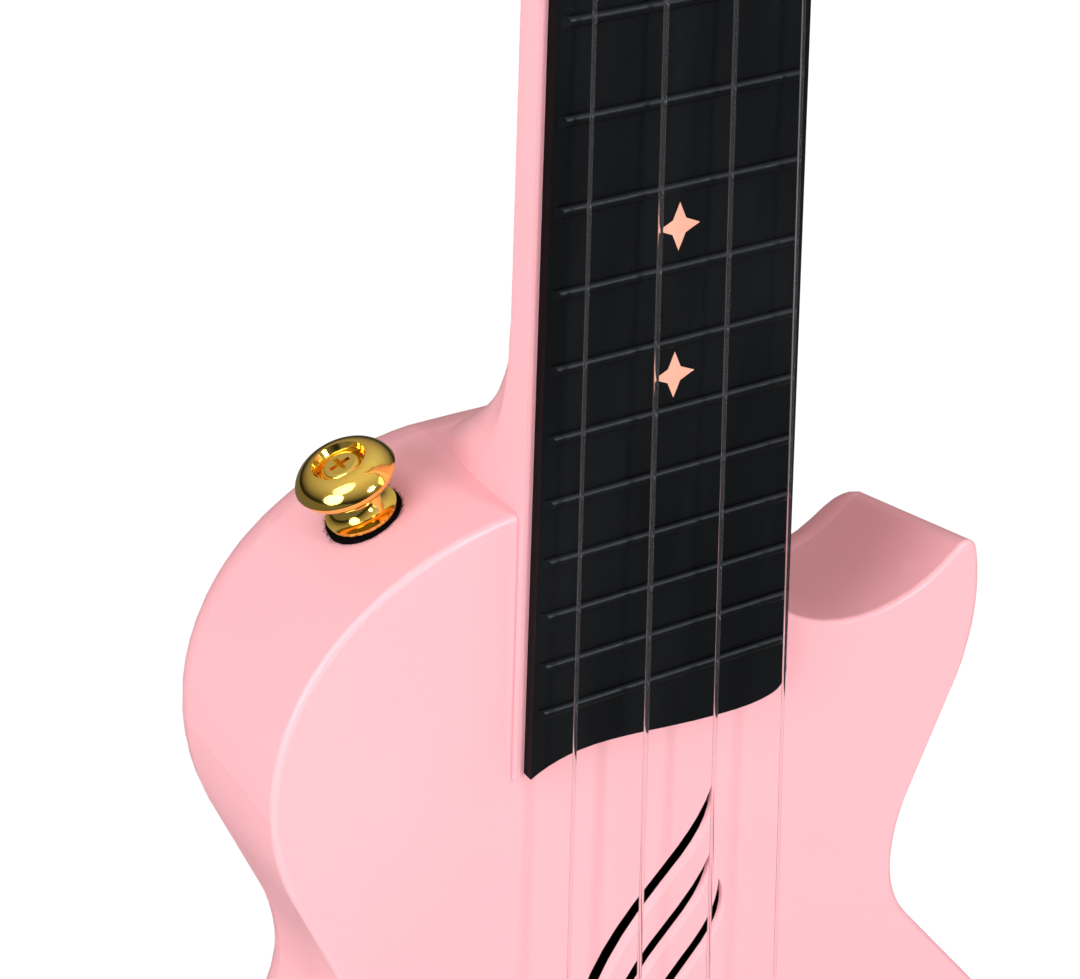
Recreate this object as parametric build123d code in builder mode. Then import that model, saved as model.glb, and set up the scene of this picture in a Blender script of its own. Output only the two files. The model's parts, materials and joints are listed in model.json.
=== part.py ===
"""Concert ukulele with a moulded cutaway body, built as separate pieces.

Frame: +X towards the treble side, +Y towards the back, +Z up the neck.
The origin is where the tail strap button sits, on the centre line at mid-depth.
"""
from build123d import *
import math
import os

os.makedirs("parts", exist_ok=True)

# ---------------------------------------------------------------- driving sizes (mm)
scale_length = 380.0
fret_count = 17
body_length = 266.7
nut_to_shoulder = 203.3
upper_bout_half = 67.2
waist_half = 53.2
lower_bout_half = 93.5
body_depth = 41.5
back_round = 10.0
front_round = 1.0
horn_round = 2.5
wall = 2.4
top_thickness = 2.2
back_thickness = 2.5
ledge_thickness = 2.5
ledge_inset = 14.4
recess_inset = 12.0
cover_gap = 0.15

board_thickness = 2.2
board_half_at_twelfth = 22.8
board_taper = 0.0258
platform_rise = 1.3
platform_margin = 1.4
platform_foot = 1.5
platform_ease = 0.01
fret_height = 0.9
fret_width = 1.8
fret_inset = 0.8
fret_bevel = 1.1
fret_root = 0.3
fret_shoulder = 0.2

neck_depth = 16.0
neck_roundness = 2.25
heel_start = 173.5
heel_growth_start = 180.0
heel_end = 214.0
heel_power = 1.5
heel_roundness = 5.0
neck_top_end = -26.0
neck_body_end = 246.0
heel_steps = 8

headstock_tilt = 10.0
headstock_thickness = 12.0
headstock_round = 1.5
nut_thickness = 5.0
nut_height = 1.35
string_height_nut = 1.5
string_height_saddle = 7.8
string_spread_nut = 29.3
string_spread_saddle = 45.1
string_gap = 0.03

tail_to_nut = body_length + nut_to_shoulder
front_y = -body_depth / 2
back_y = body_depth / 2
board_back_y = front_y - platform_rise
board_face_y = board_back_y - board_thickness

string_names = ("g", "c", "e", "a")
string_radii = (0.31, 0.40, 0.35, 0.29)


def up(from_nut):
    """Z of a place measured down from the nut."""
    return tail_to_nut - from_nut


def above_board(height):
    """Y of a place measured outwards from the fretboard's face."""
    return board_face_y - height


def fret_distance(number):
    """Equal-tempered distance of a fret from the nut."""
    return scale_length * (1 - 2 ** (-number / 12))


def board_half(from_nut):
    """Half the fretboard's width at a distance from the nut."""
    return board_half_at_twelfth + board_taper * (from_nut - scale_length / 2)


def front_plane(depth):
    """Plane parallel to the soundboard, at a depth behind it, seen from the front."""
    return Plane.XZ.offset(-(front_y + depth))


def finish(builder, name):
    """Name a piece and write its file."""
    builder.part.label = name
    export_step(builder.part, f"parts/{name}.step")


# ---------------------------------------------------------------- body outline
# Each side is a chain of tangent arcs, (radius, turn in degrees), from the tail up;
# a radius of zero stands for a straight stretch of the given length.
tail_radius = 101.0
hip_radius = 80.0
bout_radius = 86.0
low_waist_radius = 24.0
high_waist_radius = 38.0
side_radius = 45.0
shoulder_radius = 39.2
neck_side_radius = 52.3
low_turn = 38.0
high_turn = 22.0
horn_turn = 19.0


def straight_between(outer_half, outer_radius, inner_radius, turn):
    """Length of the straight stretch between a bout's arc and the waist's arc."""
    angle = math.radians(turn)
    spread = outer_half - waist_half - (outer_radius + inner_radius) * (1 - math.cos(angle))
    return spread / math.sin(angle)


low_straight = straight_between(lower_bout_half, bout_radius, low_waist_radius, low_turn)
high_straight = straight_between(upper_bout_half, side_radius, high_waist_radius, high_turn)
side_steps = (
    (tail_radius, 40.0), (hip_radius, 50.0), (bout_radius, low_turn), (0, low_straight),
    (low_waist_radius, -low_turn), (high_waist_radius, -high_turn), (0, high_straight),
)
shoulder_steps = ((side_radius, high_turn), (shoulder_radius, 54.3), (neck_side_radius, 31.6))
strap_steps = ((side_radius, high_turn), (shoulder_radius, 54.3), (neck_side_radius, 12.0))


def side_curve(side, steps):
    """Chain of tangent arcs and straights up one side of the body, from the tail."""
    place = Vector(0, 0)
    heading = Vector(side, 0)
    with BuildLine() as curve:
        for radius, amount in steps:
            if radius == 0:
                step = Line(place, place + heading * amount)
            else:
                step = JernArc(start=place, tangent=heading, radius=radius, arc_size=side * amount)
            place = step @ 1
            heading = step % 1
    return curve.line, place, heading


bass_side, shoulder_root, _ = side_curve(-1, side_steps + shoulder_steps)
cutaway_root = (24.5, up(233.8))
cutaway_middle = (44.1, up(241.2))
cutaway_lean = 0.18
middle_lean_share = 1.15
root_lean_share = 1.3
horn_fade = 0.6
heel_corner = 6.0


def body_outline(inset, depth, horn_radius=horn_round, lean_depth=None):
    """Body outline moved in by an inset, on the plane at a depth behind the soundboard.

    The cutaway's wall leans: it lies lower, towards the tail, the further back it is.
    """
    drop = cutaway_lean * (depth if lean_depth is None else lean_depth)
    horn_steps = ((side_radius, high_turn + horn_turn - math.degrees(drop / side_radius)),)
    treble_side, horn_tip, _ = side_curve(1, side_steps + horn_steps)
    middle = (cutaway_middle[0], cutaway_middle[1] - middle_lean_share * drop)
    root = (cutaway_root[0], cutaway_root[1] - root_lean_share * drop)
    with BuildSketch(front_plane(depth)) as outline:
        with BuildLine():
            add(bass_side)
            add(treble_side)
            ThreePointArc(horn_tip, middle, root)
            Polyline(root, (heel_corner, shoulder_root.Y), (shoulder_root.X, shoulder_root.Y))
        make_face()
        if inset > 0:
            offset(amount=-inset, kind=Kind.INTERSECTION)
        horn_corner = outline.vertices().sort_by_distance((horn_tip.X, horn_tip.Y, 0))[0]
        fillet(horn_corner, horn_radius)
    return outline.sketch


# ---------------------------------------------------------------- fretboard outline
board_end_points = (
    (24.1, 245.2), (23.0, 247.2), (20.5, 248.3), (14.0, 248.8), (2.0, 247.9), (-8.0, 246.8), (-16.0, 246.8),
)
board_tip = 249.4
board_corner = 243.0


def board_outline(margin, depth):
    """Fretboard outline with a side margin, on a plane at a depth behind the soundboard."""
    treble_corner = (board_half(board_corner) + margin, up(board_corner))
    end_points = [(x + math.copysign(margin, x), up(s)) for x, s in board_end_points]
    bass_tip = (-board_half(board_tip) - margin, up(board_tip + margin))
    with BuildSketch(front_plane(depth)) as outline:
        with BuildLine():
            Line((-board_half(0) - margin, up(0)), (board_half(0) + margin, up(0)))
            Line((board_half(0) + margin, up(0)), treble_corner)
            Spline(treble_corner, *end_points, bass_tip)
            Line(bass_tip, (-board_half(0) - margin, up(0)))
        make_face()
    return outline.sketch


# ---------------------------------------------------------------- neck sections
heel_growth = back_y - board_back_y - neck_depth


def smooth_step(value):
    """Rises from 0 to 1 with level ends."""
    t = min(max(value, 0.0), 1.0)
    return t * t * (3 - 2 * t)


def neck_section(from_nut):
    """Rounded U section across the neck, deeper where the heel runs into the body."""
    half_width = board_half(from_nut) + platform_margin
    growth = smooth_step((from_nut - heel_growth_start) / (heel_end - heel_growth_start)) ** heel_power
    depth = neck_depth + heel_growth * growth
    squareness = smooth_step((from_nut - heel_start) / (nut_to_shoulder - heel_start))
    exponent = 2 / (neck_roundness + (heel_roundness - neck_roundness) * squareness)
    points = []
    for step in range(13):
        angle = math.pi * step / 12
        x = half_width * math.copysign(abs(math.cos(angle)) ** exponent, math.cos(angle))
        points.append((x, board_back_y + depth * math.sin(angle) ** exponent))
    with BuildSketch(Plane.XY.offset(up(from_nut))) as section:
        with BuildLine():
            Spline(*points, tangents=[(0, 1), (0, -1)])
            Line(points[-1], points[0])
        make_face()
    return section.sketch


# ---------------------------------------------------------------- headstock
headstock_lean = math.radians(headstock_tilt)
headstock_plane = Plane(
    origin=(0, board_back_y, up(-nut_thickness)),
    x_dir=(1, 0, 0),
    z_dir=(0, -math.cos(headstock_lean), math.sin(headstock_lean)),
)
post_side = 19.0
post_heights = (36.0, 76.0)
post_places = ((-post_side, post_heights[0]), (-post_side, post_heights[1]),
               (post_side, post_heights[1]), (post_side, post_heights[0]))
headstock_half_points = ((19.0, -4.0), (21.5, 9.0), (29.5, 24.0), (32.5, 56.0), (31.5, 90.0), (20.0, 111.0))
headstock_top = 117.0


def headstock_outline():
    """Headstock face outline on its own leaning plane."""
    foot = headstock_half_points[0]
    with BuildSketch(headstock_plane) as outline:
        with BuildLine():
            Spline(*headstock_half_points, (0, headstock_top), tangents=[(0, 1), (-1, 0)])
            Line((0, headstock_top), (0, foot[1]))
            Line((0, foot[1]), foot)
        make_face()
        mirror(about=Plane.YZ)
    return outline.sketch


# ---------------------------------------------------------------- strap button seats
strap_mid_y = front_y + 18.5
_, strap_point, _ = side_curve(-1, side_steps + strap_steps)
strap_lean = math.radians(21.0)
upper_strap_plane = Plane(
    origin=(strap_point.X, strap_mid_y, strap_point.Y),
    x_dir=(0, 1, 0),
    z_dir=(-math.sin(strap_lean), 0, math.cos(strap_lean)),
)
tail_strap_plane = Plane(origin=(0, 0, 0), x_dir=(0, 1, 0), z_dir=(0, 0, -1))
strap_planes = {"upper": upper_strap_plane, "tail": tail_strap_plane}
strap_screw_radius = 1.7
strap_screw_length = 16.0
strap_hole_radius = 1.75
wall_reach = 5.0
felt_radius = 6.15
felt_height = 0.4

# ---------------------------------------------------------------- tuner sizes
post_radius = 3.0
post_hole_radius = 3.06
bushing_radius = 4.4
bushing_hole_radius = 4.45
post_rise = 15.0
winding_height = 7.0
tuner_screw_offset = 10.6
tuner_screw_radius = 1.05
tuner_screw_length = 9.0
housing_depth = 10.0
housing_front_wall = 2.0
gear_teeth = 14
gear_module = 0.5
gear_pitch_radius = gear_teeth * gear_module / 2
worm_pitch_radius = 2.0
worm_lead = math.pi * gear_module
worm_centre = -(gear_pitch_radius + worm_pitch_radius)
gear_backlash = 0.26
gear_top = -3.5
gear_bottom = -6.5
gear_middle = (gear_top + gear_bottom) / 2


def tuner_location(index):
    """Where a tuner's own frame sits: on the headstock's back face, Z out of the front."""
    x, height = post_places[index]
    return headstock_plane.offset(-headstock_thickness).location * Location((x, height, 0))


# ---------------------------------------------------------------- neck rod
rod_start = 10.0
rod_length = 182.0
rod_width = 5.0
rod_depth = 9.0
rod_gap = 0.1

# ---------------------------------------------------------------- string paths
bridge_hole_distance = scale_length + 9.5
bridge_top_height = 4.5
plate_thickness = 2.5
string_end_height = -12.0


def string_places(index):
    """Corner points of one string, from its bead to where it meets its tuner post."""
    share = index / 3 - 0.5
    nut_x = share * string_spread_nut
    saddle_x = share * string_spread_saddle
    coil_radius = post_radius + string_radii[index] + string_gap
    nut_point = Vector(nut_x, above_board(string_height_nut), up(-1.5))
    local_nut = headstock_plane.to_local_coords(nut_point)
    post_x, post_height = post_places[index]
    towards_nut = Vector(local_nut.X - post_x, local_nut.Y - post_height)
    turn = math.acos(coil_radius / towards_nut.length)
    side = math.copysign(1, post_x)
    angle = math.atan2(towards_nut.Y, towards_nut.X) - side * turn
    post_point = headstock_plane.from_local_coords(
        (post_x + coil_radius * math.cos(angle), post_height + coil_radius * math.sin(angle), winding_height)
    )
    points = [
        Vector(saddle_x, above_board(string_end_height), up(bridge_hole_distance)),
        Vector(saddle_x, above_board(bridge_top_height - 0.4), up(bridge_hole_distance)),
        Vector(saddle_x, above_board(string_height_saddle), up(scale_length)),
        nut_point,
        post_point,
    ]
    return points, angle


def string_solid(index, radius):
    """Round line of a given radius along one string's path."""
    points, _ = string_places(index)
    with BuildPart() as line:
        for start, end in zip(points[:-1], points[1:]):
            with BuildSketch(Plane(origin=start, z_dir=end - start)):
                Circle(radius)
            extrude(amount=(end - start).length)
        with Locations(*points[1:-1]):
            Sphere(radius)
    return line.part


string_clearances = [string_solid(i, string_radii[i] + string_gap) for i in range(4)]

# ---------------------------------------------------------------- soundhole slots
# Each slot is one crisp edge, tip to tip, as (X, distance from the nut); its other
# edge lies a slot's width to the lower right and slopes down through the top.
slot_edges = (
    ((13.0, 265.1), (9.3, 272.3), (0.4, 281.9), (-8.2, 292.3), (-14.0, 306.0), (-15.6, 320.0),
     (-13.0, 336.0)),
    ((13.2, 279.5), (8.7, 286.6), (0.5, 295.3), (-6.2, 305.5), (-9.6, 318.0), (-8.4, 333.0)),
    ((15.2, 285.7), (12.8, 294.1), (5.0, 303.3), (-1.0, 312.5), (-3.8, 321.5), (-3.2, 332.0)),
)
slot_widths = (4.6, 4.1, 4.3)
slot_fullness = 0.3
slot_steps = ((0, 1.0), (0.15, 0.9), (0.45, 0.79), (0.9, 0.71), (top_thickness, 1.35))
slot_lean = math.radians(38.0)


def slot_outline(edge, width, depth):
    """Pointed crescent from a slot's crisp edge to a width away, at a depth in the top."""
    crisp = [(x, up(s)) for x, s in edge]
    soft = []
    for step, (x, z) in enumerate(crisp[1:-1], start=1):
        swell = width * math.sin(math.pi * step / (len(crisp) - 1)) ** slot_fullness
        soft.append((x + swell * math.cos(slot_lean), z - swell * math.sin(slot_lean)))
    with BuildSketch(front_plane(depth)) as outline:
        with BuildLine():
            Spline(*crisp)
            Spline(crisp[-1], *reversed(soft), crisp[0])
        make_face()
    return outline.sketch


# ================================================================ pieces
# ---------------------------------------------------------------- body shell
lean_end = body_depth - back_round

with BuildPart() as body_block:
    add(body_outline(0, front_round))
    add(body_outline(0, lean_end))
    loft(ruled=True)

with BuildPart() as front_rounding:
    for angle in range(0, 91, 30):
        turn = math.radians(angle)
        add(body_outline(front_round * (1 - math.cos(turn)), front_round * (1 - math.sin(turn))))
    loft()

with BuildPart() as back_rounding:
    for angle in range(0, 91, 15):
        turn = math.radians(angle)
        share = 1 - math.cos(turn)
        round_depth = body_depth - back_round * (1 - math.sin(turn))
        add(body_outline(back_round * share, round_depth, horn_round * (1 - horn_fade * share), lean_end))
    loft()

with BuildPart() as neck_block:
    add(neck_section(neck_top_end))
    add(neck_section(heel_start))
    loft(ruled=True)

with BuildPart() as heel_block:
    for step in range(heel_steps + 1):
        add(neck_section(heel_start + (heel_end - heel_start) * step / heel_steps))
    loft()

with BuildPart() as heel_root:
    add(neck_section(heel_end))
    add(neck_section(neck_body_end))
    loft(ruled=True)

with BuildPart() as headstock_block:
    add(headstock_outline())
    extrude(amount=headstock_thickness, dir=-headstock_plane.z_dir)
    fillet(headstock_block.faces().sort_by(Axis.Y)[0].edges(), headstock_round)

with BuildPart() as platform_block:
    add(board_outline(platform_margin - platform_ease, -platform_rise))
    extrude(amount=platform_rise + platform_foot, dir=(0, 1, 0))

with BuildPart() as cavity:
    add(body_outline(wall, top_thickness, lean_depth=lean_end))
    extrude(amount=body_depth - top_thickness - back_thickness - ledge_thickness, dir=(0, 1, 0))
    add(body_outline(ledge_inset, body_depth - back_thickness - ledge_thickness, horn_round, lean_end))
    extrude(amount=ledge_thickness, dir=(0, 1, 0))
    add(body_outline(recess_inset, body_depth - back_thickness, lean_depth=lean_end))
    extrude(amount=2 * back_thickness, dir=(0, 1, 0))

with BuildPart() as body_shell:
    add(body_block.part)
    add(front_rounding.part)
    add(back_rounding.part)
    add(neck_block.part)
    add(heel_block.part)
    add(heel_root.part)
    add(platform_block.part)
    with BuildSketch(headstock_plane):
        with Locations((0, 20.0)):
            Rectangle(60, 40)
    extrude(amount=10.0, mode=Mode.SUBTRACT)
    add(headstock_block.part)
    with BuildSketch(Plane.XZ.offset(-board_back_y)):
        with Locations((0, up(0))):
            Rectangle(60, 2 * nut_thickness)
    extrude(amount=headstock_thickness, mode=Mode.SUBTRACT)
    add(cavity.part, mode=Mode.SUBTRACT)
    for edge, width in zip(slot_edges, slot_widths):
        for depth, share in slot_steps:
            add(slot_outline(edge, share * width, depth))
        loft(ruled=True, mode=Mode.SUBTRACT)
    for clearance in string_clearances:
        add(clearance, mode=Mode.SUBTRACT)
    for seat in strap_planes.values():
        with BuildSketch(seat.offset(-wall_reach)):
            Circle(strap_hole_radius)
        extrude(amount=2 * wall_reach, mode=Mode.SUBTRACT)
    with BuildSketch(Plane.XZ.offset(-board_back_y)):
        with Locations((0, up(rod_start + rod_length / 2))):
            Rectangle(rod_width + rod_gap, rod_length + rod_gap)
    extrude(amount=rod_depth + rod_gap, dir=(0, 1, 0), mode=Mode.SUBTRACT)
    for place in post_places:
        with BuildSketch(headstock_plane):
            with Locations(place):
                Circle(bushing_hole_radius)
        extrude(amount=headstock_thickness, dir=-headstock_plane.z_dir, mode=Mode.SUBTRACT)
        with BuildSketch(headstock_plane.offset(-headstock_thickness)):
            with Locations((place[0], place[1] + tuner_screw_offset)):
                Circle(tuner_screw_radius + 0.03)
        extrude(amount=tuner_screw_length, dir=headstock_plane.z_dir, mode=Mode.SUBTRACT)
finish(body_shell, "body_shell")

# ---------------------------------------------------------------- back cover
with BuildPart() as back_cover:
    add(body_outline(recess_inset + cover_gap, body_depth - back_thickness, lean_depth=lean_end))
    extrude(amount=back_thickness, dir=(0, 1, 0))
finish(back_cover, "back_cover")

# ---------------------------------------------------------------- neck rod
with BuildPart() as neck_rod:
    with BuildSketch(Plane.XZ.offset(-board_back_y)):
        with Locations((0, up(rod_start + rod_length / 2))):
            Rectangle(rod_width, rod_length)
    extrude(amount=rod_depth, dir=(0, 1, 0))
finish(neck_rod, "neck_rod")

# ---------------------------------------------------------------- fretboard and its inlays
star_numbers = (5, 7, 10, 12)
star_half_height = 3.86
star_half_width = 3.64
star_waist = 1.15
star_depth = 0.6


def star_outline(number, gap):
    """Four-pointed star between two frets, on the fretboard's face."""
    centre = up((fret_distance(number - 1) + fret_distance(number)) / 2)
    corners = [(0, star_half_height), (star_waist, star_waist), (star_half_width, 0)]
    corners.append((star_waist, -star_waist))
    corners += [(-x, -z) for x, z in corners]
    with BuildSketch(Plane.XZ.offset(-board_face_y)) as star:
        with BuildLine():
            Polyline(*[(x, centre + z) for x, z in corners], close=True)
        make_face()
        offset(amount=-gap, kind=Kind.INTERSECTION)
    return star.sketch


with BuildPart() as fret_bars:
    for number in range(1, fret_count + 1):
        distance = fret_distance(number)
        foot_half = board_half(distance) - fret_inset
        with BuildSketch(Plane.XY.offset(up(distance) - fret_width / 2)):
            with BuildLine():
                Polyline(
                    (-foot_half, above_board(-fret_root)),
                    (-foot_half, above_board(0)),
                    (-foot_half + fret_bevel, above_board(fret_height)),
                    (foot_half - fret_bevel, above_board(fret_height)),
                    (foot_half, above_board(0)),
                    (foot_half, above_board(-fret_root)),
                    close=True,
                )
            make_face()
        extrude(amount=fret_width)

with BuildPart() as fret_crowns:
    for number in range(1, fret_count + 1):
        middle = up(fret_distance(number))
        low_edge = (above_board(fret_shoulder), middle - fret_width / 2)
        high_edge = (above_board(fret_shoulder), middle + fret_width / 2)
        with BuildSketch(Plane.YZ.offset(-board_half_at_twelfth - wall_reach)):
            with BuildLine():
                Polyline(low_edge, (above_board(-fret_root), middle - fret_width / 2),
                         (above_board(-fret_root), middle + fret_width / 2), high_edge)
                ThreePointArc(high_edge, (above_board(fret_height), middle), low_edge)
            make_face()
        extrude(amount=2 * (board_half_at_twelfth + wall_reach))
    add(fret_bars.part, mode=Mode.INTERSECT)

with BuildPart() as fretboard:
    add(board_outline(0, -platform_rise - board_thickness))
    extrude(amount=board_thickness, dir=(0, 1, 0))
    add(fret_crowns.part)
    for number in star_numbers:
        add(star_outline(number, 0))
    extrude(amount=star_depth, dir=(0, 1, 0), mode=Mode.SUBTRACT)
finish(fretboard, "fretboard")

with BuildPart() as position_stars:
    for number in star_numbers:
        add(star_outline(number, 0.02))
    extrude(amount=star_depth - 0.02, dir=(0, 1, 0))
finish(position_stars, "position_stars")

# ---------------------------------------------------------------- nut, saddle and bridge
nut_front = above_board(nut_height)
nut_gap = 0.1

with BuildPart() as nut:
    with BuildSketch(Plane.XZ.offset(-board_back_y)):
        with Locations((0, up(-nut_thickness / 2))):
            Rectangle(2 * board_half(0) + platform_margin, nut_thickness - 2 * nut_gap)
    extrude(amount=board_back_y - nut_front)
    fillet(nut.edges().filter_by(Axis.X).group_by(Axis.Y)[0], 1.0)
    for clearance in string_clearances:
        add(clearance, mode=Mode.SUBTRACT)
finish(nut, "nut")

bridge_width = 86.0
bridge_length = 24.0
bridge_middle = scale_length + 3.5
bridge_height = front_y - above_board(bridge_top_height)
saddle_width = 63.0
saddle_thickness = 2.9
saddle_slot_depth = 5.0
saddle_top = string_height_saddle - 0.35

with BuildPart() as bridge:
    with BuildSketch(Plane.XZ.offset(-front_y)):
        with Locations((0, up(bridge_middle))):
            RectangleRounded(bridge_width, bridge_length, 7.0)
    extrude(amount=bridge_height)
    fillet(bridge.faces().sort_by(Axis.Y)[0].edges(), 2.5)
    with BuildSketch(Plane.XZ.offset(-above_board(bridge_top_height))):
        with Locations((0, up(scale_length))):
            Rectangle(saddle_width + 0.1, saddle_thickness + 0.1)
    extrude(amount=saddle_slot_depth, dir=(0, 1, 0), mode=Mode.SUBTRACT)
    for clearance in string_clearances:
        add(clearance, mode=Mode.SUBTRACT)
finish(bridge, "bridge")

with BuildPart() as saddle:
    with BuildSketch(Plane.XZ.offset(-above_board(bridge_top_height - saddle_slot_depth))):
        with Locations((0, up(scale_length))):
            Rectangle(saddle_width, saddle_thickness)
    extrude(amount=saddle_top - bridge_top_height + saddle_slot_depth)
    fillet(saddle.edges().filter_by(Axis.X).group_by(Axis.Y)[0], 1.2)
    for clearance in string_clearances:
        add(clearance, mode=Mode.SUBTRACT)
finish(saddle, "saddle")

with BuildPart() as bridge_plate:
    with BuildSketch(front_plane(top_thickness)):
        with Locations((0, up(bridge_middle))):
            RectangleRounded(110.0, 32.0, 3.0)
    extrude(amount=plate_thickness, dir=(0, 1, 0))
    for clearance in string_clearances:
        add(clearance, mode=Mode.SUBTRACT)
finish(bridge_plate, "bridge_plate")

# ---------------------------------------------------------------- braces and strap blocks
brace_sizes = ((257.5, 116.0), (353.0, 150.0))
brace_width = 5.0
brace_height = 7.0

with BuildPart() as top_braces:
    for distance, length in brace_sizes:
        with BuildSketch(front_plane(top_thickness)):
            with Locations((0, up(distance))):
                Rectangle(length, brace_width)
        extrude(amount=brace_height, dir=(0, 1, 0))
    chamfer(top_braces.edges().filter_by(Axis.X).group_by(Axis.Y)[-1], 1.2)
finish(top_braces, "top_braces")

block_gap = 0.05
block_depth = body_depth - back_thickness - ledge_thickness - top_thickness - 2 * block_gap
block_reach = 18.0
block_sizes = {"upper": (26.0, math.degrees(strap_lean)), "tail": (34.0, 0.0)}
block_places = {"upper": (strap_point.X, strap_point.Y), "tail": (0, 0)}

for place, seat in strap_planes.items():
    with BuildPart() as strap_block:
        block_width, block_angle = block_sizes[place]
        with BuildSketch(front_plane(top_thickness + block_gap)):
            add(body_outline(wall + block_gap, top_thickness + block_gap))
            with Locations(Location(block_places[place], block_angle)):
                Rectangle(block_width, 2 * block_reach, mode=Mode.INTERSECT)
        extrude(amount=block_depth, dir=(0, 1, 0))
        with BuildSketch(seat):
            Circle(strap_screw_radius + 0.03)
        extrude(amount=-strap_screw_length - 1.0, mode=Mode.SUBTRACT)
    finish(strap_block, f"strap_block_{place}")

# ---------------------------------------------------------------- strap buttons
button_flange_radius = 5.75
button_waist_radius = 3.3
button_head_radius = 8.05
button_head_middle = 7.9
button_neck = (4.5, 5.4)
button_height = 10.8
button_lip_radius = 4.3
button_floor_radius = 3.4
button_floor = 8.8

with BuildPart() as button_shape:
    with BuildSketch(Plane.XZ):
        with BuildLine():
            Polyline((strap_hole_radius, 0), (5.4, 0), (button_flange_radius, 0.35),
                     (button_flange_radius, 0.9))
            Spline((button_flange_radius, 0.9), (4.1, 1.7), (button_waist_radius, 3.4), button_neck,
                   tangents=[(-1, 0.15), (0.75, 0.66)])
            ThreePointArc(button_neck, (7.05, 6.2), (button_head_radius, button_head_middle))
            ThreePointArc((button_head_radius, button_head_middle), (6.85, 9.75),
                          (button_lip_radius, button_height))
            Polyline((button_lip_radius, button_height), (button_floor_radius, button_floor),
                     (strap_hole_radius, button_floor), (strap_hole_radius, 0))
        make_face()
    revolve(axis=Axis.Z)

screw_head_radius = 3.15
screw_head_height = 1.3

with BuildPart() as strap_screw_shape:
    with BuildSketch(Plane.XY.offset(-felt_height - strap_screw_length)):
        Circle(strap_screw_radius)
    extrude(amount=strap_screw_length + felt_height + button_floor)
    chamfer(strap_screw_shape.faces().sort_by(Axis.Z)[0].edges(), 1.3, 1.3)
    with BuildSketch(Plane.XY.offset(button_floor)):
        Circle(screw_head_radius)
    extrude(amount=screw_head_height)
    fillet(strap_screw_shape.faces().sort_by(Axis.Z)[-1].edges(), 0.75)
    with BuildSketch(Plane.XY.offset(button_floor + screw_head_height)):
        Rectangle(3.4, 0.75)
        Rectangle(0.75, 3.4)
    extrude(amount=-1.0, mode=Mode.SUBTRACT)

for place, seat in strap_planes.items():
    with BuildPart() as felt_washer:
        with BuildSketch(seat.offset(-2.0)):
            Circle(felt_radius)
            Circle(strap_hole_radius, mode=Mode.SUBTRACT)
        extrude(amount=2.0 + felt_height)
        add(body_block.part, mode=Mode.SUBTRACT)
    finish(felt_washer, f"felt_washer_{place}")
    with BuildPart() as strap_button:
        with Locations(seat.offset(felt_height).location):
            add(button_shape.part)
    finish(strap_button, f"strap_button_{place}")
    with BuildPart() as strap_screw:
        with Locations(seat.offset(felt_height).location):
            add(strap_screw_shape.part)
    finish(strap_screw, f"strap_screw_{place}")

# ---------------------------------------------------------------- strings
bead_radius = 1.7
bead_height = 3.0
bead_front = front_y + top_thickness + plate_thickness + 0.05

for index, name in enumerate(string_names):
    with BuildPart() as string:
        add(string_solid(index, string_radii[index]))
    finish(string, f"string_{name}")

with BuildPart() as string_beads:
    for index in range(4):
        foot = string_places(index)[0][0]
        with BuildSketch(Plane.XZ.offset(-bead_front)):
            with Locations((foot.X, foot.Z)):
                Circle(bead_radius)
                Circle(string_radii[index] + 0.02, mode=Mode.SUBTRACT)
        extrude(amount=bead_height, dir=(0, 1, 0))
finish(string_beads, "string_beads")

# ---------------------------------------------------------------- tuners
# Each tuner is drawn in its own frame: Z out of the headstock's front, X outwards,
# the origin where the post's axis meets the headstock's back face.
housing_inner = -9.0
housing_outer = 11.0
housing_low = -9.0
housing_high = 7.0
ear_radius = 3.4
wheel_pocket_radius = 4.4
worm_bore_radius = 2.75
worm_bore_start = -5.5
inner_journal_radius = 1.22
inner_bearing_radius = 1.27
inner_journal_end = -7.6
outer_journal_radius = 2.68
outer_journal_start = 6.0
worm_half_length = 2.5 * worm_lead
worm_root_radius = 1.4
worm_outer_radius = 2.5
knob_shaft_radius = 1.5
knob_shaft_end = 17.5
post_stub_radius = 1.75
wheel_bore_radius = 1.78
gear_outer_radius = gear_pitch_radius + gear_module
gear_root_radius = gear_pitch_radius - 1.2 * gear_module
gear_screw_head = 1.8
gear_screw_shank = 0.9
cover_thickness = 1.0
cover_lip = 0.05
post_top = headstock_thickness + post_rise
bushing_top = 2.2
washer_thickness = 0.8
washer_radius = 6.3
bushing_hex_radius = 5.6
knob_inner = 14.5
knob_length = 11.5
knob_half_width = 8.5
knob_thickness = 6.5
knob_neck = 3.0
knob_rounding = 2.4
knob_screw_radius = 1.1

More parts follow.
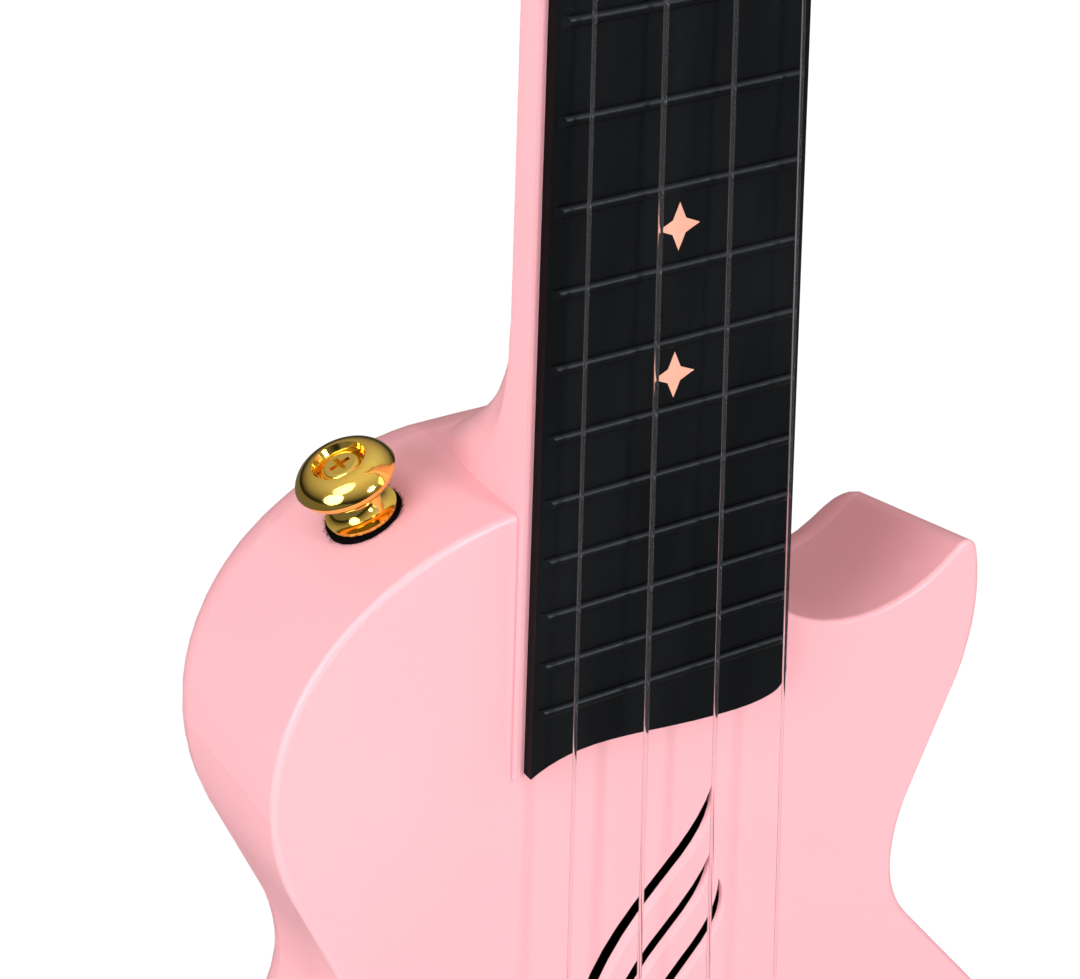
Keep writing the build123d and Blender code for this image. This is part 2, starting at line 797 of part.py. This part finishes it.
with BuildPart() as housing:
    with BuildSketch():
        with Locations(((housing_inner + housing_outer) / 2, (housing_low + housing_high) / 2)):
            RectangleRounded(housing_outer - housing_inner, housing_high - housing_low, 2.5)
        with Locations((0, tuner_screw_offset)):
            Circle(ear_radius)
        with Locations((0, (housing_high + tuner_screw_offset) / 2)):
            Rectangle(2 * ear_radius, tuner_screw_offset - housing_high)
    extrude(amount=-housing_front_wall)
    with BuildSketch(Plane.XY.offset(-housing_front_wall)):
        with Locations(((housing_inner + housing_outer) / 2, (housing_low + housing_high) / 2)):
            RectangleRounded(housing_outer - housing_inner, housing_high - housing_low, 2.5)
    extrude(amount=housing_front_wall - housing_depth)
    with BuildSketch():
        Circle(post_hole_radius)
        with Locations((0, tuner_screw_offset)):
            Circle(tuner_screw_radius + 0.05)
    extrude(amount=-housing_front_wall, mode=Mode.SUBTRACT)
    with BuildSketch(Plane.XY.offset(-housing_front_wall)):
        Circle(wheel_pocket_radius)
    extrude(amount=-housing_depth, mode=Mode.SUBTRACT)
    with BuildSketch(Plane.YZ.offset(worm_bore_start)):
        with Locations((worm_centre, gear_middle)):
            Circle(worm_bore_radius)
    extrude(amount=2 * housing_outer, mode=Mode.SUBTRACT)
    with BuildSketch(Plane.YZ.offset(housing_inner)):
        with Locations((worm_centre, gear_middle)):
            Circle(inner_bearing_radius)
    extrude(amount=2 * housing_outer, mode=Mode.SUBTRACT)

with BuildPart() as gear_cover:
    with BuildSketch(Plane.XY.offset(-housing_depth - cover_lip)):
        with Locations(((housing_inner + housing_outer) / 2, (housing_low + housing_high) / 2)):
            RectangleRounded(housing_outer - housing_inner, housing_high - housing_low, 2.5)
    extrude(amount=-cover_thickness)
    fillet(gear_cover.faces().sort_by(Axis.Z)[0].edges(), 0.6)

with BuildPart() as tuner_screw:
    with BuildSketch(Plane.XY.offset(-housing_front_wall)):
        Circle(tuner_screw_radius)
    extrude(amount=tuner_screw_length - 0.5)
    chamfer(tuner_screw.faces().sort_by(Axis.Z)[-1].edges(), tuner_screw_radius - 0.3)
    with BuildSketch(Plane.XY.offset(-housing_front_wall)):
        Circle(2.1)
    extrude(amount=-1.1)
    fillet(tuner_screw.faces().sort_by(Axis.Z)[0].edges(), 0.5)
    with BuildSketch(Plane.XY.offset(-housing_front_wall - 1.1)):
        Rectangle(2.4, 0.5)
        Rectangle(0.5, 2.4)
    extrude(amount=0.6, mode=Mode.SUBTRACT)

with BuildPart() as washer:
    with BuildSketch(Plane.XY.offset(headstock_thickness)):
        Circle(washer_radius)
        Circle(bushing_radius + 0.05, mode=Mode.SUBTRACT)
    extrude(amount=washer_thickness)

with BuildPart() as bushing:
    with BuildSketch(Plane.XY.offset(0.1)):
        Circle(bushing_radius)
    extrude(amount=headstock_thickness + washer_thickness - 0.1)
    with BuildSketch(Plane.XY.offset(headstock_thickness + washer_thickness)):
        RegularPolygon(bushing_hex_radius, 6)
    extrude(amount=bushing_top)
    chamfer(bushing.faces().sort_by(Axis.Z)[-1].edges(), 0.4)
    with BuildSketch():
        Circle(post_hole_radius)
    extrude(amount=2 * headstock_thickness, mode=Mode.SUBTRACT)

with BuildPart() as post:
    with BuildSketch(Plane.XY.offset(gear_bottom)):
        Circle(post_stub_radius)
    extrude(amount=gear_top - gear_bottom)
    with BuildSketch(Plane.XY.offset(gear_top)):
        Circle(post_radius)
    extrude(amount=post_top - gear_top)
    fillet(post.faces().sort_by(Axis.Z)[-1].edges(), 0.8)
    with BuildSketch(Plane.XZ):
        with Locations((0, headstock_thickness + winding_height + 4.0)):
            Circle(0.9)
    extrude(amount=post_radius + 1.0, both=True, mode=Mode.SUBTRACT)
    with BuildSketch(Plane.XY.offset(gear_bottom)):
        Circle(gear_screw_shank)
    extrude(amount=6.0, mode=Mode.SUBTRACT)

with BuildPart() as gear_screw:
    with BuildSketch(Plane.XY.offset(gear_bottom)):
        Circle(gear_screw_shank - 0.02)
    extrude(amount=5.5)
    with BuildSketch(Plane.XY.offset(gear_bottom)):
        Circle(gear_screw_head)
    extrude(amount=-1.5)
    with BuildSketch(Plane.XY.offset(gear_bottom - 1.5)):
        Rectangle(2.2, 0.5)
        Rectangle(0.5, 2.2)
    extrude(amount=0.7, mode=Mode.SUBTRACT)

tooth_half_tip = 0.2 * gear_module * math.pi / 2
tooth_half_pitch = (gear_module * math.pi / 2 - gear_backlash / 2) / 2
tooth_half_root = tooth_half_pitch + 0.6 * gear_module * math.tan(math.radians(20))
lead_slope = worm_lead / (2 * math.pi * worm_pitch_radius)
lead_turn = math.degrees(lead_slope * (gear_top - gear_bottom) / gear_pitch_radius)


with BuildPart() as wheel_tooth:
    for height, turn in ((gear_bottom, -lead_turn / 2), (gear_top, lead_turn / 2)):
        with BuildSketch(Plane.XY.offset(height).rotated((0, 0, turn - 90))):
            with BuildLine():
                Polyline(
                    (gear_root_radius - 0.2, -tooth_half_root),
                    (gear_pitch_radius, -tooth_half_pitch),
                    (gear_outer_radius - 0.08, -tooth_half_tip),
                    (gear_outer_radius - 0.08, tooth_half_tip),
                    (gear_pitch_radius, tooth_half_pitch),
                    (gear_root_radius - 0.2, tooth_half_root),
                    close=True,
                )
            make_face()
    loft(ruled=True)

with BuildPart() as worm_wheel:
    with BuildSketch(Plane.XY.offset(gear_bottom)):
        Circle(gear_root_radius)
    extrude(amount=gear_top - gear_bottom)
    with PolarLocations(0, gear_teeth):
        add(wheel_tooth.part)
    with BuildSketch(Plane.XY.offset(gear_bottom)):
        Circle(wheel_bore_radius)
    extrude(amount=gear_top - gear_bottom, mode=Mode.SUBTRACT)

# The worm, its shaft and the button are drawn along Z and then laid along the tuner's X.
worm_axis = Plane(origin=(0, worm_centre, gear_middle), x_dir=(0, 1, 0), z_dir=(1, 0, 0))
thread_slope = math.tan(math.radians(20))
thread_foot = worm_root_radius - 0.1
thread_half_foot = tooth_half_pitch + (worm_pitch_radius - thread_foot) * thread_slope
thread_half_tip = tooth_half_pitch - (worm_outer_radius - worm_pitch_radius) * thread_slope

with BuildPart() as worm_shaft:
    with BuildSketch(Plane.XZ):
        with BuildLine():
            Polyline(
                (0, inner_journal_end), (inner_journal_radius, inner_journal_end),
                (inner_journal_radius, worm_bore_start + 0.3), (worm_root_radius, worm_bore_start + 0.3),
                (worm_root_radius, outer_journal_start), (outer_journal_radius, outer_journal_start),
                (outer_journal_radius, housing_outer), (knob_shaft_radius, housing_outer),
                (knob_shaft_radius, knob_shaft_end), (0, knob_shaft_end), close=True,
            )
        make_face()
    revolve(axis=Axis.Z)
    with BuildLine() as thread_path:
        Helix(pitch=worm_lead, height=2 * worm_half_length, radius=thread_foot,
              center=(0, 0, -worm_half_length))
    with BuildSketch(Plane(origin=(thread_foot, 0, -worm_half_length), x_dir=(1, 0, 0), z_dir=(0, 1, 0))):
        with BuildLine():
            Polyline(
                (0, -thread_half_foot), (worm_outer_radius - thread_foot, -thread_half_tip),
                (worm_outer_radius - thread_foot, thread_half_tip), (0, thread_half_foot), close=True,
            )
        make_face()
    sweep(path=thread_path.line, is_frenet=True)
    with BuildSketch(Plane.XY.offset(knob_shaft_end)):
        Circle(knob_screw_radius + 0.02)
    extrude(amount=-5.0, mode=Mode.SUBTRACT)

with BuildPart() as button:
    with BuildSketch(Plane.YZ):
        with BuildLine():
            Line((0, knob_inner), (knob_neck, knob_inner))
            flare = TangentArc((knob_neck, knob_inner), (5.6, knob_inner + 3.2), tangent=(0, 1))
            Spline(flare @ 1, (knob_half_width, knob_inner + 7.0), (0, knob_inner + knob_length),
                   tangents=[flare % 1, (-1, 0)])
            Line((0, knob_inner + knob_length), (0, knob_inner))
        make_face()
        mirror(about=Plane.YZ)
    extrude(amount=knob_thickness / 2, both=True)
    fillet(button.faces().filter_by(Axis.X).edges(), knob_rounding)
    with BuildSketch(Plane.XY.offset(knob_inner)):
        Circle(knob_shaft_radius + 0.02)
    extrude(amount=knob_shaft_end - knob_inner + 0.05, mode=Mode.SUBTRACT)
    with BuildSketch(Plane.XY.offset(knob_inner)):
        Circle(knob_screw_radius + 0.02)
    extrude(amount=knob_length, mode=Mode.SUBTRACT)

with BuildPart() as button_screw:
    with BuildSketch(Plane.XY.offset(knob_shaft_end - 4.0)):
        Circle(knob_screw_radius)
    extrude(amount=knob_inner + knob_length - knob_shaft_end + 4.0)
    with BuildSketch(Plane.XY.offset(knob_inner + knob_length)):
        Circle(1.9)
    extrude(amount=1.2)
    fillet(button_screw.faces().sort_by(Axis.Z)[-1].edges(), 0.5)
    with BuildSketch(Plane.XY.offset(knob_inner + knob_length + 1.2)):
        Rectangle(2.2, 0.5)
        Rectangle(0.5, 2.2)
    extrude(amount=-0.6, mode=Mode.SUBTRACT)


def laid_along_x(shape):
    """Part drawn along Z, laid on the worm's axis."""
    with BuildPart() as laid:
        with Locations(worm_axis.location):
            add(shape)
    return laid.part


def placed(shape, indexes):
    """Tuner part put on the headstock at the given tuners, mirrored on the bass side."""
    mirrored_shape = mirror(shape, about=Plane.YZ)
    with BuildPart() as group:
        for index in indexes:
            with Locations(tuner_location(index)):
                add(shape if post_places[index][0] > 0 else mirrored_shape)
    return group


def winding(index):
    """Turns of one string round its post, just below where the string arrives."""
    radius = string_radii[index]
    coil_radius = post_radius + radius + string_gap
    pitch = 2 * radius + 0.05
    height = winding_turns * pitch
    top = headstock_thickness + winding_height - 2 * radius - 0.08
    left_handed = post_places[index][0] < 0
    _, angle = string_places(index)
    start = angle - (-1 if left_handed else 1) * 2 * math.pi * winding_turns
    with BuildPart() as coil:
        with BuildLine() as path:
            Helix(pitch=pitch, height=height, radius=coil_radius, center=(0, 0, top - height),
                  lefthand=left_handed)
        with BuildSketch(Plane(origin=path.line @ 0, z_dir=path.line % 0)):
            Circle(radius)
        sweep(path=path.line, is_frenet=True)
    with BuildPart() as placed_coil:
        with Locations(tuner_location(index) * Location((0, 0, 0), math.degrees(start))):
            add(coil.part)
    return placed_coil


winding_turns = 2.6
all_tuners = range(4)
finish(placed(housing.part, all_tuners), "tuner_housings")
finish(placed(gear_cover.part, all_tuners), "gear_covers")
finish(placed(bushing.part, all_tuners), "tuner_bushings")
finish(placed(washer.part, all_tuners), "tuner_washers")
finish(placed(Pos(0, tuner_screw_offset, 0) * tuner_screw.part, all_tuners), "tuner_mounting_screws")

for index, name in enumerate(string_names):
    finish(placed(post.part, (index,)), f"tuner_post_{name}")
    finish(placed(worm_wheel.part, (index,)), f"worm_wheel_{name}")
    finish(placed(gear_screw.part, (index,)), f"gear_screw_{name}")
    finish(winding(index), f"string_winding_{name}")
    finish(placed(laid_along_x(worm_shaft.part), (index,)), f"worm_shaft_{name}")
    finish(placed(laid_along_x(button.part), (index,)), f"tuner_button_{name}")
    finish(placed(laid_along_x(button_screw.part), (index,)), f"button_screw_{name}")
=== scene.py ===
"""Looks for the moulded concert ukulele: materials, felt fibres, studio and camera."""
import json
import math
import random

import bmesh
import bpy
from mathutils import Matrix, Vector


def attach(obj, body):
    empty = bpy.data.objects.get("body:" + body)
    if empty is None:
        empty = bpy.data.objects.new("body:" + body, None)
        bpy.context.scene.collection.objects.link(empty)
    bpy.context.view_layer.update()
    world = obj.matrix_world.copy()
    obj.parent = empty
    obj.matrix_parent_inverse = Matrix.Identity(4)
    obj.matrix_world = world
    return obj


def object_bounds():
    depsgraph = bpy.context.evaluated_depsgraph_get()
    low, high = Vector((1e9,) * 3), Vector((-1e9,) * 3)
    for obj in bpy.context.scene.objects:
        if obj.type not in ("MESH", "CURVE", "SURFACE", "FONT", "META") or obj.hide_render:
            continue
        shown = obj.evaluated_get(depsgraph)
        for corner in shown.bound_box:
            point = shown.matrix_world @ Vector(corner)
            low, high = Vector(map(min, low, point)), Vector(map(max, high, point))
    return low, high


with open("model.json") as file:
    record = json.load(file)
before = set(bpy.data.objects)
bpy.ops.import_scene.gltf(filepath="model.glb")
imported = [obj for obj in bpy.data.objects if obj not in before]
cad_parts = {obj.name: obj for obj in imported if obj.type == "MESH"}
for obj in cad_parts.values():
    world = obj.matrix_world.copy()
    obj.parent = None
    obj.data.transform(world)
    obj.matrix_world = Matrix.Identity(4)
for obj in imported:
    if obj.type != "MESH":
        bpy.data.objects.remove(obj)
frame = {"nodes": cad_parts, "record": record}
cad_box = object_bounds()
nodes = frame["nodes"]
record = frame["record"]
mounts = {m["name"]: m for m in record["mounts"]}
MM = 0.001

# depths between which pink surfaces that face forward fade to painted shade: near black standing in for the
# shade inside the body
inside_shade_start = 11.5 * MM
inside_shade_end = 12.5 * MM

# the rim of a felt washer, where its fibres stand
rim_inner = 5.6 * MM
rim_outer = 6.15 * MM
rim_height = 0.5 * MM
fibres_per_washer = 1300
fibre_seed = 7

# brightness of the studio: to the camera, in reflections, and as general light
backdrop_glow = 1.05
floor_in_reflections = 0.16
room_light = 0.36
room_rise = {"From Min": 0.1, "From Max": 0.95, "To Min": 0.02, "To Max": 0.75}


# ---------------------------------------------------------------- material helpers
class Surface:
    """A node material built from a few plain steps."""

    def __init__(self, name):
        self.material = bpy.data.materials.new(name)
        self.material.use_nodes = True
        self.tree = self.material.node_tree
        self.tree.nodes.clear()
        self.output = self.tree.nodes.new("ShaderNodeOutputMaterial")
        self.shader = self.tree.nodes.new("ShaderNodeBsdfPrincipled")
        self.link(self.shader.outputs[0], self.output.inputs["Surface"])
        self.coordinates = self.tree.nodes.new("ShaderNodeTexCoord")

    def link(self, source, target):
        self.tree.links.new(source, target)

    def place(self, stretch=(1, 1, 1)):
        """Object coordinates in metres, scaled along each axis."""
        mapping = self.tree.nodes.new("ShaderNodeMapping")
        mapping.inputs["Scale"].default_value = stretch
        self.link(self.coordinates.outputs["Object"], mapping.inputs["Vector"])
        return mapping.outputs["Vector"]

    def noise(self, scale, detail=3.0, roughness=0.55, stretch=(1, 1, 1), distortion=0.0):
        texture = self.tree.nodes.new("ShaderNodeTexNoise")
        texture.inputs["Scale"].default_value = scale
        texture.inputs["Detail"].default_value = detail
        texture.inputs["Roughness"].default_value = roughness
        texture.inputs["Distortion"].default_value = distortion
        self.link(self.place(stretch), texture.inputs["Vector"])
        return texture.outputs["Fac"]

    def cells(self, scale):
        """Distance to the nearest cell's centre."""
        texture = self.tree.nodes.new("ShaderNodeTexVoronoi")
        texture.feature = "F1"
        texture.inputs["Scale"].default_value = scale
        self.link(self.place(), texture.inputs["Vector"])
        return texture.outputs["Distance"]

    def ramp(self, value, low, high, start=0.3, end=0.7):
        """Value mapped to a range, clamped at both ends."""
        node = self.tree.nodes.new("ShaderNodeMapRange")
        node.inputs["From Min"].default_value = start
        node.inputs["From Max"].default_value = end
        node.inputs["To Min"].default_value = low
        node.inputs["To Max"].default_value = high
        self.link(value, node.inputs["Value"])
        return node.outputs["Result"]

    def blend(self, value, first, second):
        """Colour between two colours."""
        node = self.tree.nodes.new("ShaderNodeMix")
        node.data_type = "RGBA"
        for socket, colour in ((node.inputs[6], first), (node.inputs[7], second)):
            if isinstance(colour, bpy.types.NodeSocket):
                self.link(colour, socket)
            else:
                socket.default_value = (*colour, 1)
        self.link(value, node.inputs[0])
        return node.outputs[2]

    def part_of(self, vector, axis):
        """One component of a vector."""
        split = self.tree.nodes.new("ShaderNodeSeparateXYZ")
        self.link(vector, split.inputs[0])
        return split.outputs[axis]

    def facing(self, axis):
        """How far the true surface normal points along an axis, from -1 to 1."""
        shape = self.tree.nodes.new("ShaderNodeNewGeometry")
        return self.part_of(shape.outputs["True Normal"], axis)

    def multiply(self, first, second):
        node = self.tree.nodes.new("ShaderNodeMath")
        node.operation = "MULTIPLY"
        self.link(first, node.inputs[0])
        self.link(second, node.inputs[1])
        return node.outputs[0]

    def add(self, first, second, share):
        """The first value plus a share of the second."""
        node = self.tree.nodes.new("ShaderNodeMath")
        node.operation = "MULTIPLY_ADD"
        self.link(second, node.inputs[0])
        node.inputs[1].default_value = share
        self.link(first, node.inputs[2])
        return node.outputs[0]

    def bump(self, height, distance, strength=1.0, normal=None):
        """A normal tilted by a height, over the surface or over another bump."""
        node = self.tree.nodes.new("ShaderNodeBump")
        node.inputs["Distance"].default_value = distance
        node.inputs["Strength"].default_value = strength
        self.link(height, node.inputs["Height"])
        if normal is not None:
            self.link(normal, node.inputs["Normal"])
        return node.outputs["Normal"]

    def glow(self, strength):
        emission = self.tree.nodes.new("ShaderNodeEmission")
        emission.inputs["Strength"].default_value = strength
        return emission.outputs[0]

    def set(self, **values):
        """Sets shader inputs by name, with underscores for spaces."""
        for name, value in values.items():
            socket = self.shader.inputs[name.replace("_", " ")]
            if isinstance(value, bpy.types.NodeSocket):
                self.link(value, socket)
            elif isinstance(value, tuple) and len(value) < len(socket.default_value):
                socket.default_value = (*value, 1)
            else:
                socket.default_value = value
        return self


def choose_by_ray(tree, path, ray, otherwise, chosen):
    """The chosen shader for one kind of ray, and the other one for every other ray."""
    mix = tree.nodes.new("ShaderNodeMixShader")
    tree.links.new(path.outputs[ray], mix.inputs[0])
    tree.links.new(otherwise, mix.inputs[1])
    tree.links.new(chosen, mix.inputs[2])
    return mix.outputs[0]


# ---------------------------------------------------------------- materials
def pink_satin():
    s = Surface("pink_satin")
    tint = s.blend(s.ramp(s.noise(14, 2), 0, 1), (0.93, 0.462, 0.512), (0.95, 0.485, 0.532))
    # Painted shade: forward-facing surfaces deep inside the body go near black, standing in for the shade
    # seen through the soundhole slots.
    behind = s.ramp(s.part_of(s.place(), "Y"), 0, 1, inside_shade_start, inside_shade_end)
    inside_shade = s.multiply(behind, s.ramp(s.facing("Y"), 1, 0, -0.6, -0.4))
    tint = s.blend(inside_shade, tint, (0.004, 0.003, 0.003))
    peel = s.bump(s.noise(700, 2, 0.5), 0.000012)
    speck = s.bump(s.noise(5200, 2, 0.6), 0.000004, normal=peel)
    s.set(Base_Color=tint, Roughness=s.ramp(s.noise(160, 4), 0.34, 0.42), Specular_IOR_Level=0.45,
          Normal=speck, Coat_Weight=0.12, Coat_Roughness=0.3)
    return s.material


def black_satin():
    s = Surface("black_satin")
    # random darker and lighter streaks running along the neck, in colour and roughness
    streaks_along_neck = s.noise(26, 4, 0.6, stretch=(3.2, 3.2, 0.55), distortion=0.4)
    tint = s.blend(s.ramp(streaks_along_neck, 0, 1), (0.0010, 0.0010, 0.0012), (0.0050, 0.0052, 0.0060))
    grain = s.bump(s.noise(1900, 5, 0.65), 0.00003, 0.7)
    pores = s.bump(s.cells(1300), 0.00002, 0.4, normal=grain)
    s.set(Base_Color=tint, Roughness=s.ramp(s.add(streaks_along_neck, s.noise(2400, 3), 0.4), 0.32, 0.42, 0.4, 0.9),
          Specular_IOR_Level=s.ramp(s.facing("Y"), 0.36, 0.04, -0.6, -0.1),
          Specular_Tint=(0.78, 0.88, 1.0), Normal=pores)
    return s.material


def coral_inlay():
    s = Surface("coral_inlay")
    tint = s.blend(s.ramp(s.noise(420, 3), 0, 1), (0.93, 0.42, 0.30), (0.96, 0.46, 0.34))
    s.set(Base_Color=tint, Roughness=s.ramp(s.noise(900, 3), 0.32, 0.42),
          Normal=s.bump(s.noise(1500, 3), 0.00001))
    return s.material


def ivory_plastic():
    s = Surface("ivory_plastic")
    cloud = s.noise(60, 4, 0.6, stretch=(1, 1, 2.5), distortion=1.2)
    tint = s.blend(s.ramp(cloud, 0, 1), (0.80, 0.76, 0.67), (0.88, 0.86, 0.80))
    s.set(Base_Color=tint, Roughness=s.ramp(s.noise(500, 3), 0.16, 0.26), Subsurface_Weight=0.15,
          Subsurface_Radius=(0.002, 0.0015, 0.001), Normal=s.bump(s.noise(300, 2), 0.00001))
    return s.material


def gold_metal():
    s = Surface("gold_metal")
    tint = s.blend(s.ramp(s.noise(380, 3), 0, 1), (1.0, 0.62, 0.10), (1.0, 0.70, 0.16))
    scratches = s.noise(900, 4, 0.7, stretch=(1, 1, 9), distortion=0.6)
    s.set(Base_Color=tint, Metallic=1.0, Roughness=s.ramp(scratches, 0.06, 0.13),
          Normal=s.bump(scratches, 0.000003))
    return s.material


def black_felt():
    s = Surface("black_felt")
    tint = s.blend(s.ramp(s.noise(3200, 4), 0, 1), (0.0015, 0.0012, 0.0014), (0.006, 0.005, 0.0055))
    s.set(Base_Color=tint, Roughness=0.95, Specular_IOR_Level=0.05,
          Normal=s.bump(s.noise(2600, 4, 0.8), 0.0002))
    return s.material


def clear_string():
    s = Surface("clear_string")
    tint = s.blend(s.ramp(s.noise(80, 2), 0, 1), (0.93, 0.91, 0.92), (0.97, 0.95, 0.96))
    s.set(Base_Color=tint, Transmission_Weight=0.985, IOR=1.3, Roughness=s.ramp(s.noise(700, 2), 0.08, 0.12))
    return s.material


def spruce_brace():
    s = Surface("spruce_brace")
    grain = s.noise(160, 5, 0.6, stretch=(0.15, 4, 4), distortion=0.3)
    tint = s.blend(s.ramp(grain, 0, 1), (0.56, 0.36, 0.18), (0.74, 0.54, 0.31))
    s.set(Base_Color=tint, Roughness=0.7, Normal=s.bump(grain, 0.0001))
    return s.material


def rod_steel():
    s = Surface("rod_steel")
    brush = s.noise(900, 3, 0.6, stretch=(6, 6, 0.2))
    s.set(Base_Color=s.blend(s.ramp(brush, 0, 1), (0.38, 0.39, 0.41), (0.56, 0.57, 0.6)), Metallic=1.0,
          Roughness=s.ramp(brush, 0.25, 0.4), Normal=s.bump(brush, 0.00001))
    return s.material


def pale_floor():
    """White to the camera, dim in reflections, and a plain pale surface to every other ray."""
    s = Surface("pale_floor")
    tint = s.blend(s.ramp(s.noise(3, 2), 0, 1), (0.86, 0.86, 0.86), (0.9, 0.9, 0.9))
    s.set(Base_Color=tint, Roughness=0.9)
    path = s.tree.nodes.new("ShaderNodeLightPath")
    shine = choose_by_ray(s.tree, path, "Is Glossy Ray", s.shader.outputs[0], s.glow(floor_in_reflections))
    view = choose_by_ray(s.tree, path, "Is Camera Ray", shine, s.glow(backdrop_glow))
    s.link(view, s.output.inputs["Surface"])
    return s.material


materials = {make.__name__: make() for make in (
    pink_satin, black_satin, coral_inlay, ivory_plastic, gold_metal, black_felt, clear_string,
    spruce_brace, rod_steel)}
for part in record["subparts"]:
    mesh = nodes[part["node"]].data
    mesh.materials.clear()
    mesh.materials.append(materials[part["material_slot"]])


# ---------------------------------------------------------------- felt fibres
def felt_fibres(name, mount, inner, outer, height, count, seed):
    """Short curled fibres standing out of a felt washer's rim, as thin closed spikes."""
    rng = random.Random(seed)
    axis = Vector(mount["axis"]).normalized()
    across = axis.orthogonal().normalized()
    along = axis.cross(across)
    centre = Vector(mount["pos_m"])
    sides = 3
    side_turn = 2 * math.pi / sides
    ring_count = 3
    taper = 0.6
    sunk = 0.3 * MM
    mesh = bmesh.new()
    for _ in range(count):
        turn = rng.uniform(0, 2 * math.pi)
        outward = across * math.cos(turn) + along * math.sin(turn)
        sideways = axis.cross(outward)
        root = centre + outward * rng.uniform(inner, outer) + axis * rng.uniform(-sunk, height)
        lean = outward * rng.uniform(0.2, 1.0) + sideways * rng.gauss(0, 0.7) + axis * rng.uniform(-0.5, 0.6)
        curl = sideways * rng.gauss(0, 0.5) + axis * rng.gauss(0, 0.3) - outward * rng.uniform(0, 0.4)
        length = rng.uniform(0.5, 1.35) * MM
        thickness = rng.uniform(0.022, 0.04) * MM
        rings = []
        for step in range(ring_count):
            share = step / ring_count
            middle = root + lean.normalized() * length * share + curl * length * share * share
            radius = thickness * (1 - taper * share)
            rings.append([
                mesh.verts.new(middle + sideways * math.cos(k * side_turn) * radius
                               + axis * math.sin(k * side_turn) * radius)
                for k in range(sides)
            ])
        tip = mesh.verts.new(root + lean.normalized() * length + curl * length)
        mesh.faces.new(reversed(rings[0]))
        for lower, upper in zip(rings[:-1], rings[1:]):
            for k in range(sides):
                after = (k + 1) % sides
                mesh.faces.new((lower[k], lower[after], upper[after], upper[k]))
        for k in range(sides):
            mesh.faces.new((rings[-1][k], rings[-1][(k + 1) % sides], tip))
    bmesh.ops.recalc_face_normals(mesh, faces=mesh.faces)
    data = bpy.data.meshes.new(name)
    mesh.to_mesh(data)
    mesh.free()
    data.materials.append(materials["black_felt"])
    piece = bpy.data.objects.new(name, data)
    bpy.context.scene.collection.objects.link(piece)
    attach(piece, "instrument")


for end in ("upper", "tail"):
    felt_fibres(f"felt_fibres_{end}", mounts[f"{end}_strap"], rim_inner, rim_outer, rim_height,
                fibres_per_washer, fibre_seed)


# ---------------------------------------------------------------- studio
def disk_light(name, place, width, power):
    """A round area light aimed at the upper bout, near where the neck joins it."""
    aim = Vector((0, 0, 0.25))
    light = bpy.data.lights.new(name, "AREA")
    light.shape = "DISK"
    light.size = width
    light.energy = power
    lamp = bpy.data.objects.new(name, light)
    lamp.location = place
    lamp.rotation_euler = (aim - Vector(place)).to_track_quat("-Z", "Y").to_euler()
    bpy.context.scene.collection.objects.link(lamp)


def studio_floor():
    """A large pale square just under the ukulele."""
    half_width = 6.0
    gap = 1 * MM
    lowest = cad_box[0][2]
    grid = bmesh.new()
    bmesh.ops.create_grid(grid, x_segments=8, y_segments=8, size=half_width)
    data = bpy.data.meshes.new("floor")
    grid.to_mesh(data)
    grid.free()
    data.materials.append(pale_floor())
    floor = bpy.data.objects.new("floor", data)
    floor.location = (0, 0, lowest - gap)
    bpy.context.scene.collection.objects.link(floor)


def studio_world():
    """White to the camera, a room that brightens upwards in reflections, and warm light elsewhere."""
    world = bpy.data.worlds.new("studio")
    bpy.context.scene.world = world
    world.use_nodes = True
    sky = world.node_tree
    warm = sky.nodes["Background"]
    warm.inputs["Color"].default_value = (1.0, 0.84, 0.80, 1)
    warm.inputs["Strength"].default_value = room_light
    direction = sky.nodes.new("ShaderNodeTexCoord")
    height = sky.nodes.new("ShaderNodeSeparateXYZ")
    sky.links.new(direction.outputs["Generated"], height.inputs[0])
    rise = sky.nodes.new("ShaderNodeMapRange")
    for key, value in room_rise.items():
        rise.inputs[key].default_value = value
    sky.links.new(height.outputs["Z"], rise.inputs["Value"])
    room = sky.nodes.new("ShaderNodeBackground")
    room.inputs["Color"].default_value = (1.0, 0.97, 0.92, 1)
    sky.links.new(rise.outputs["Result"], room.inputs["Strength"])
    white = sky.nodes.new("ShaderNodeBackground")
    white.inputs["Color"].default_value = (1, 1, 1, 1)
    white.inputs["Strength"].default_value = backdrop_glow
    path = sky.nodes.new("ShaderNodeLightPath")
    shine = choose_by_ray(sky, path, "Is Glossy Ray", warm.outputs[0], room.outputs[0])
    view = choose_by_ray(sky, path, "Is Camera Ray", shine, white.outputs[0])
    sky.links.new(view, sky.nodes["World Output"].inputs["Surface"])


disk_light("key_front", place=(0.42, -1.6, 1.05), width=0.42, power=14.8)
disk_light("fill_left", place=(-1.5, -0.55, 0.75), width=1.1, power=15.5)
disk_light("top_soft", place=(-0.95, -0.35, 1.6), width=1.0, power=9.0)
disk_light("fill_right", place=(1.5, -1.0, 1.2), width=1.2, power=6.0)
studio_floor()
studio_world()


# ---------------------------------------------------------------- camera
def close_camera():
    """A long lens in front of the bass shoulder, looking down across the strings."""
    data = bpy.data.cameras.new("camera")
    data.sensor_width = 36.0
    data.lens = 87.157
    data.shift_x = 0.0058
    data.shift_y = -0.0059
    data.clip_start = 0.01
    heading = math.radians(30.39)
    pitch = math.radians(-28.598)
    roll = math.radians(0.415)
    level = math.cos(pitch)
    sight = Vector((math.sin(heading) * level, math.cos(heading) * level, math.sin(pitch)))
    upright = sight.to_track_quat("-Z", "Y")
    camera = bpy.data.objects.new("camera", data)
    camera.location = (-0.19542, -0.31626, 0.45825)
    camera.rotation_mode = "QUATERNION"
    camera.rotation_quaternion = upright @ Matrix.Rotation(roll, 3, "Z").to_quaternion()
    bpy.context.scene.collection.objects.link(camera)
    bpy.context.scene.camera = camera


close_camera()
bpy.context.scene.view_settings.view_transform = "Standard"
